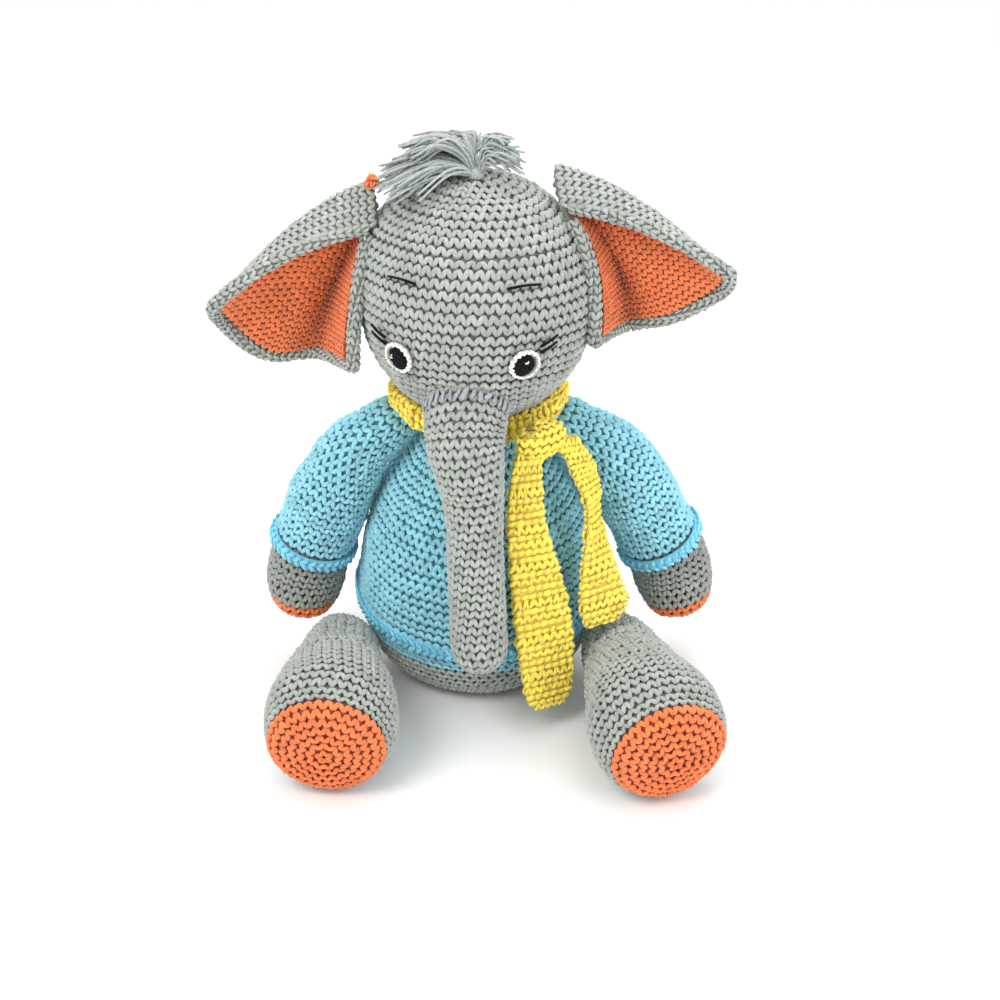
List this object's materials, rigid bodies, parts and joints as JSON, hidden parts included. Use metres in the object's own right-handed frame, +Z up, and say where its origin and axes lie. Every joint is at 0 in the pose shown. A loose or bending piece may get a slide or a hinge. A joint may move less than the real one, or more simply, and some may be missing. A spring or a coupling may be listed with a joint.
{
  "type": "stuffed toy elephant",
  "caption": "Sitting crocheted elephant toy with hanging trunk, cupped ears, soft limbs, short-bodied sweater, knotted scarf and a tuft of yarn hair.",
  "frame": {"origin": "centre of the flat seat under the body, on the surface the toy sits on", "axes": "+Z up, the face looks along -Y, +X towards the toy's own left"},
  "size_m": [0.2262, 0.1967, 0.2749],
  "materials": {
    "grey_yarn": "matt single-crochet cotton yarn, small dark holes between stitches",
    "orange_yarn": "matt single-crochet cotton yarn",
    "blue_yarn": "matt single-crochet cotton yarn",
    "yellow_yarn": "ribbed tall-stitch cotton yarn",
    "white_yarn": "fine crochet thread",
    "black_yarn": "fine embroidery thread",
    "hair_yarn": "loose plied yarn ends",
    "fibrefill": "loose polyester wadding, hidden"
  },
  "bodies": {
    "torso": {"body_base": "grey_yarn", "body_stuffing": "fibrefill", "sweater_body": "blue_yarn", "sweater_hem": "blue_yarn", "scarf_neck_wrap": "yellow_yarn", "scarf_knot": "yellow_yarn"},
    "head": {"head_shell": "grey_yarn", "head_stuffing": "fibrefill", "eye_left_white": "white_yarn", "eye_left_pupil": "black_yarn", "eye_left_glint": "white_yarn", "eye_left_lash_upper": "black_yarn", "eye_left_lash_lower": "black_yarn", "eye_right_white": "white_yarn", "eye_right_pupil": "black_yarn", "eye_right_glint": "white_yarn", "eye_right_lash_upper": "black_yarn", "eye_right_lash_lower": "black_yarn", "brow_left": "black_yarn", "brow_right": "black_yarn", "hair_root_knot": "hair_yarn", "hair_lock_1": "hair_yarn", "hair_lock_2": "hair_yarn", "hair_lock_3": "hair_yarn", "hair_lock_4": "hair_yarn", "hair_lock_5": "hair_yarn", "hair_lock_6": "hair_yarn"},
    "trunk": {"trunk_shell": "grey_yarn", "trunk_stuffing": "fibrefill"},
    "ear_left": {"ear_left_outer": "grey_yarn", "ear_left_lining": "orange_yarn"},
    "ear_right": {"ear_right_outer": "grey_yarn", "ear_right_lining": "orange_yarn", "ear_root_knot": "orange_yarn"},
    "arm_left": {"arm_left_sleeve": "blue_yarn", "arm_left_cuff": "blue_yarn", "arm_left_hand": "grey_yarn", "arm_left_palm": "orange_yarn", "arm_left_stuffing": "fibrefill"},
    "arm_right": {"arm_right_sleeve": "blue_yarn", "arm_right_cuff": "blue_yarn", "arm_right_hand": "grey_yarn", "arm_right_palm": "orange_yarn", "arm_right_stuffing": "fibrefill"},
    "leg_left": {"leg_left_skin": "grey_yarn", "leg_left_sole": "orange_yarn", "leg_left_stuffing": "fibrefill"},
    "leg_right": {"leg_right_skin": "grey_yarn", "leg_right_sole": "orange_yarn", "leg_right_stuffing": "fibrefill"},
    "scarf_tail_long": {"scarf_tail_long": "yellow_yarn"},
    "scarf_tail_short": {"scarf_tail_short": "yellow_yarn"}
  },
  "joints": [
    {"name": "head_nod", "type": "hinge", "parent": "torso", "child": "head", "pos_m": [0, -0.021, 0.148], "axis": [1, 0, 0], "range_deg": [-12, 0], "stiffness_Nm_per_rad": 0.25},
    {"name": "trunk_lift", "type": "hinge", "parent": "head", "child": "trunk", "pos_m": [-0.0046, -0.0775, 0.1785], "axis": [-1, 0, 0], "range_deg": [0, 50]},
    {"name": "ear_left_flap", "type": "hinge", "parent": "head", "child": "ear_left", "pos_m": [0.04, -0.03, 0.245], "axis": [0.3, 0, -0.9539], "range_deg": [-12, 3], "stiffness_Nm_per_rad": 0.08},
    {"name": "ear_right_flap", "type": "hinge", "parent": "head", "child": "ear_right", "pos_m": [-0.046, -0.03, 0.238], "axis": [0.3, 0, 0.9539], "range_deg": [-9, 3], "stiffness_Nm_per_rad": 0.08},
    {"name": "arm_left_raise", "type": "hinge", "parent": "torso", "child": "arm_left", "pos_m": [0.04, -0.018, 0.134], "axis": [0, -1, 0], "range_deg": [0, 60]},
    {"name": "arm_right_raise", "type": "hinge", "parent": "torso", "child": "arm_right", "pos_m": [-0.04, -0.018, 0.134], "axis": [0, 1, 0], "range_deg": [0, 60]},
    {"name": "leg_left_spread", "type": "hinge", "parent": "torso", "child": "leg_left", "pos_m": [0.0655, -0.0385, 0.024], "axis": [0, 0, 1], "range_deg": [-3, 22], "stiffness_Nm_per_rad": 0.15},
    {"name": "leg_right_spread", "type": "hinge", "parent": "torso", "child": "leg_right", "pos_m": [-0.0645, -0.0385, 0.024], "axis": [0, 0, -1], "range_deg": [-8, 22], "stiffness_Nm_per_rad": 0.15},
    {"name": "scarf_tail_long_lift", "type": "hinge", "parent": "torso", "child": "scarf_tail_long", "pos_m": [0.024, -0.066, 0.138], "axis": [-1, 0, 0], "range_deg": [0, 50]},
    {"name": "scarf_tail_short_lift", "type": "hinge", "parent": "torso", "child": "scarf_tail_short", "pos_m": [0.044, -0.057, 0.138], "axis": [-1, 0, 0], "range_deg": [0, 50]}
  ]
}
